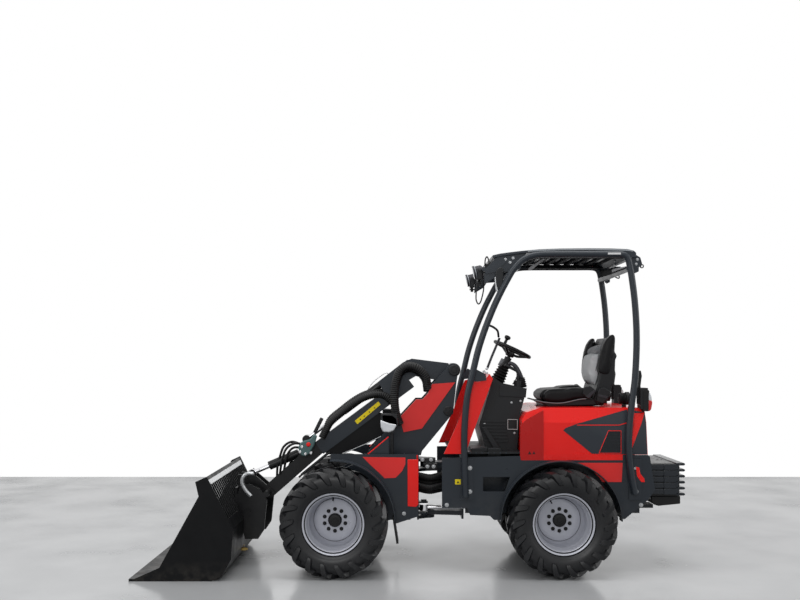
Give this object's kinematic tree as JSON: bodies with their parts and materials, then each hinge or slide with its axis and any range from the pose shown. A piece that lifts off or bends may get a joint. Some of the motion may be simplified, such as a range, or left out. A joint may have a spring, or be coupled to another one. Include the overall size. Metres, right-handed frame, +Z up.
{
  "type": "wheel loader",
  "caption": "Compact articulated wheel loader with a telescopic boom, bucket, open operator's place under a canopy frame, and rear weights.",
  "frame": {"origin": "on the ground under the middle of the machine's length and width", "axes": "+X forward towards the bucket, +Y to the machine's left, +Z up"},
  "size_m": [3.8038, 1.3, 2.2352],
  "materials": {
    "anthracite_paint": "satin",
    "red_paint": "gloss",
    "black_paint": "satin",
    "black_plastic": "matte",
    "tyre_rubber": "matte",
    "rim_paint": "satin",
    "polished_rod": "polished",
    "seat_cover": "satin",
    "cast_weight": "satin",
    "lamp_plastic": "gloss",
    "coupler_metal": "satin"
  },
  "bodies": {
    "rear_frame": {"rear_frame": "anthracite_paint", "rear_axle": "black_paint", "engine_block": "cast_weight", "engine_hood": "red_paint", "floor_plate": "black_plastic", "dash_console": "black_plastic", "dash_cowl": "red_paint", "steering_column": "black_plastic", "joystick": "black_plastic", "seat_base": "black_plastic", "seat_cushion": "seat_cover", "seat_back": "seat_cover", "rollover_frame": "anthracite_paint", "canopy": "anthracite_paint", "lamp_bar": "anthracite_paint", "work_lamp_left": "lamp_plastic", "work_lamp_right": "lamp_plastic", "rear_weight": "cast_weight", "tail_lamp_left": "lamp_plastic", "tail_lamp_right": "lamp_plastic", "drawbar": "anthracite_paint", "rear_fender_left": "anthracite_paint", "rear_fender_right": "anthracite_paint"},
    "steering_wheel": {"steering_wheel": "black_plastic"},
    "rear_left_wheel": {"rear_left_tyre": "tyre_rubber", "rear_left_rim": "rim_paint"},
    "rear_right_wheel": {"rear_right_tyre": "tyre_rubber", "rear_right_rim": "rim_paint"},
    "front_left_wheel": {"front_left_tyre": "tyre_rubber", "front_left_rim": "rim_paint"},
    "front_right_wheel": {"front_right_tyre": "tyre_rubber", "front_right_rim": "rim_paint"},
    "front_frame": {"front_frame": "anthracite_paint", "front_axle": "black_paint", "front_side_left": "anthracite_paint", "front_side_right": "anthracite_paint", "column_cover_left": "red_paint", "column_cover_right": "red_paint", "tower_panel_left": "red_paint", "tower_panel_right": "red_paint", "headlamp_left": "lamp_plastic", "headlamp_right": "lamp_plastic"},
    "boom": {"boom_outer": "anthracite_paint", "telescope_barrel": "black_paint"},
    "boom_slide": {"boom_inner": "black_paint", "telescope_rod": "polished_rod", "multi_coupler": "coupler_metal"},
    "bucket": {"coupler": "black_paint", "bucket": "black_paint"},
    "lift_barrel": {"lift_barrel": "black_paint"},
    "lift_rod": {"lift_rod": "polished_rod"},
    "tilt_barrel": {"tilt_barrel": "black_paint"},
    "tilt_rod": {"tilt_rod": "polished_rod"},
    "steer_barrel": {"steer_barrel": "black_paint"},
    "steer_rod": {"steer_rod": "polished_rod"}
  },
  "joints": [
    {"name": "steer", "type": "hinge", "parent": "rear_frame", "child": "front_frame", "pos_m": [-0.09971, 0, 0.52], "axis": [0, 0, 1], "range_deg": [-40, 40]},
    {"name": "rear_left_spin", "type": "hinge", "parent": "rear_frame", "child": "rear_left_wheel", "pos_m": [-0.99771, 0.48, 0.368], "axis": [0, 1, 0], "continuous": true},
    {"name": "rear_right_spin", "type": "hinge", "parent": "rear_frame", "child": "rear_right_wheel", "pos_m": [-0.99771, -0.48, 0.368], "axis": [0, 1, 0], "continuous": true},
    {"name": "front_left_spin", "type": "hinge", "parent": "front_frame", "child": "front_left_wheel", "pos_m": [0.54829, 0.48, 0.368], "axis": [0, 1, 0], "continuous": true},
    {"name": "front_right_spin", "type": "hinge", "parent": "front_frame", "child": "front_right_wheel", "pos_m": [0.54829, -0.48, 0.368], "axis": [0, 1, 0], "continuous": true},
    {"name": "boom_lift", "type": "hinge", "parent": "front_frame", "child": "boom", "pos_m": [-0.28561, 0, 1.39738], "axis": [0, -1, 0], "range_deg": [0, 75]},
    {"name": "boom_extend", "type": "slide", "parent": "boom", "child": "boom_slide", "axis": [0.8039, 0, -0.5948], "range_m": [0, 0.5]},
    {"name": "bucket_tilt", "type": "hinge", "parent": "boom_slide", "child": "bucket", "pos_m": [1.05553, 0, 0.51322], "axis": [0, -1, 0], "range_deg": [-40, 28]},
    {"name": "steering_wheel_turn", "type": "hinge", "parent": "rear_frame", "child": "steering_wheel", "pos_m": [-0.69545, 0, 1.48833], "axis": [-0.4229, 0, 0.9062], "continuous": true},
    {"name": "lift_barrel_swing", "type": "hinge", "parent": "front_frame", "child": "lift_barrel", "pos_m": [-0.24146, 0, 1.10688], "axis": [0, -1, 0], "range_deg": [-0.01, 72.71]},
    {"name": "lift_rod_slide", "type": "slide", "parent": "lift_barrel", "child": "lift_rod", "axis": [0.933, 0, -0.36], "range_m": [-0.0001, 0.35553]},
    {"name": "tilt_barrel_swing", "type": "hinge", "parent": "boom_slide", "child": "tilt_barrel", "pos_m": [0.80946, 0, 0.80103], "axis": [0, -1, 0], "range_deg": [-6.43, 4.5]},
    {"name": "tilt_rod_slide", "type": "slide", "parent": "tilt_barrel", "child": "tilt_rod", "axis": [0.9195, 0, -0.3932], "range_m": [-0.07797, 0.11135]},
    {"name": "steer_barrel_swing", "type": "hinge", "parent": "rear_frame", "child": "steer_barrel", "pos_m": [-0.77971, 0.145, 0.418], "axis": [0, 0, 1], "range_deg": [-1.43, 1.43]},
    {"name": "steer_rod_slide", "type": "slide", "parent": "steer_barrel", "child": "steer_rod", "axis": [0.9994, 0.0352, 0], "range_m": [-0.10972, 0.10972]}
  ],
  "couplings": [
    {"joint": "lift_barrel_swing", "follows": "boom_lift", "ratio": 0.96933},
    {"joint": "lift_rod_slide", "follows": "boom_lift", "m_per_rad": 0.27153},
    {"joint": "tilt_barrel_swing", "follows": "bucket_tilt", "ratio": 0.16042},
    {"joint": "tilt_rod_slide", "follows": "bucket_tilt", "m_per_rad": -0.15935},
    {"joint": "steer_barrel_swing", "follows": "steer", "ratio": 0.03545},
    {"joint": "steer_rod_slide", "follows": "steer", "m_per_rad": -0.15702}
  ]
}
